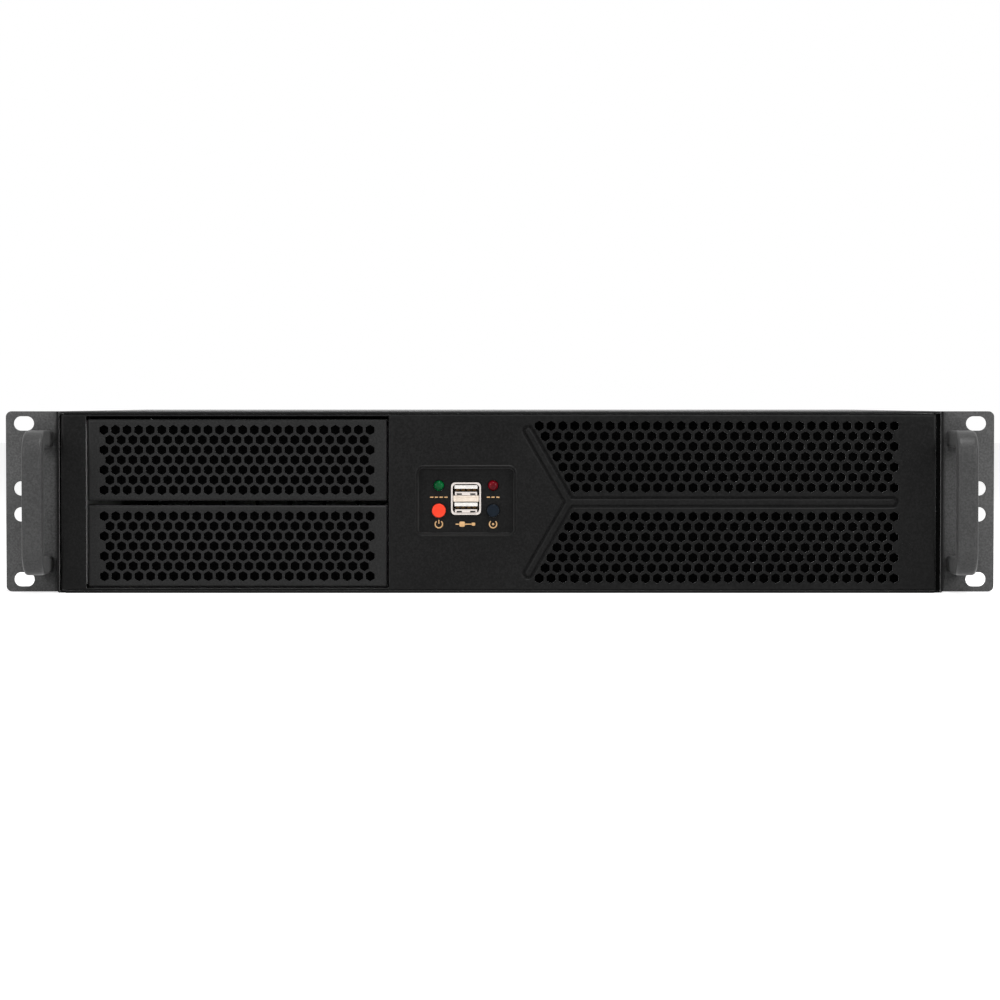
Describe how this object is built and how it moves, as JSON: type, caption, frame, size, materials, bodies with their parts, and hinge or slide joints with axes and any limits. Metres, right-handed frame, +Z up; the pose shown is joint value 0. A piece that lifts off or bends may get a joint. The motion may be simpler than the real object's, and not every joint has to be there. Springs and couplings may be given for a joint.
{
  "type": "rackmount server case",
  "caption": "Low black rackmount case with rack ears, bow handles, perforated drive bay covers, a hexagon grille around an embossed Y, and a sliding lid; empty inside.",
  "frame": {"origin": "on the underside of the case, on its centre line, in the plane of the rack ears' back faces", "axes": "+X to the right seen from the front, +Y to the back, +Z up"},
  "size_m": [0.4826, 0.4373, 0.0881],
  "materials": {
    "black_coat": "fine-textured black powder coat on steel sheet",
    "handle_coat": "satin black paint on die-cast metal",
    "zinc_sheet": "zinc-plated steel sheet",
    "black_foam": "open black foam",
    "brass_post": "turned brass",
    "orange_red_plastic": "satin orange-red moulding",
    "blue_black_plastic": "satin blue-black moulding",
    "black_plastic": "moulded black plastic",
    "green_lens": "clear green lamp body",
    "red_lens": "clear dark red lamp body",
    "nickel_shell": "bright nickel-plated steel",
    "white_plastic": "white glass-filled moulding",
    "board_laminate": "green lacquered board"
  },
  "bodies": {
    "case": {"chassis_base": "black_coat", "rear_panel": "black_coat", "front_panel": "black_coat", "rack_ear_left": "black_coat", "rack_ear_right": "black_coat", "handle_left": "handle_coat", "handle_right": "handle_coat", "drive_cage": "black_coat", "fan_bracket": "black_coat", "dust_filter": "black_foam", "slot_covers": "zinc_sheet", "board_standoffs": "brass_post", "supply_support": "zinc_sheet", "control_switches": "black_plastic", "power_led": "green_lens", "drive_led": "red_lens", "usb_shell": "nickel_shell", "usb_insulator": "white_plastic", "control_board": "board_laminate", "control_posts": "brass_post"},
    "lid": {"top_cover": "black_coat"},
    "upper_cover": {"bay_cover_upper": "black_coat"},
    "lower_cover": {"bay_cover_lower": "black_coat"},
    "power_key": {"power_button": "orange_red_plastic"},
    "reset_key": {"reset_button": "blue_black_plastic"}
  },
  "joints": [
    {"name": "lid_slide", "type": "slide", "parent": "case", "child": "lid", "axis": [0, 1, 0], "range_m": [0, 0.4]},
    {"name": "upper_cover_pull", "type": "slide", "parent": "case", "child": "upper_cover", "axis": [0, -1, 0], "range_m": [0, 0.045]},
    {"name": "lower_cover_pull", "type": "slide", "parent": "case", "child": "lower_cover", "axis": [0, -1, 0], "range_m": [0, 0.045]},
    {"name": "power_press", "type": "slide", "parent": "case", "child": "power_key", "axis": [0, 1, 0], "range_m": [0, 0.0015], "stiffness_N_per_m": 800},
    {"name": "reset_press", "type": "slide", "parent": "case", "child": "reset_key", "axis": [0, 1, 0], "range_m": [0, 0.0015], "stiffness_N_per_m": 800}
  ]
}
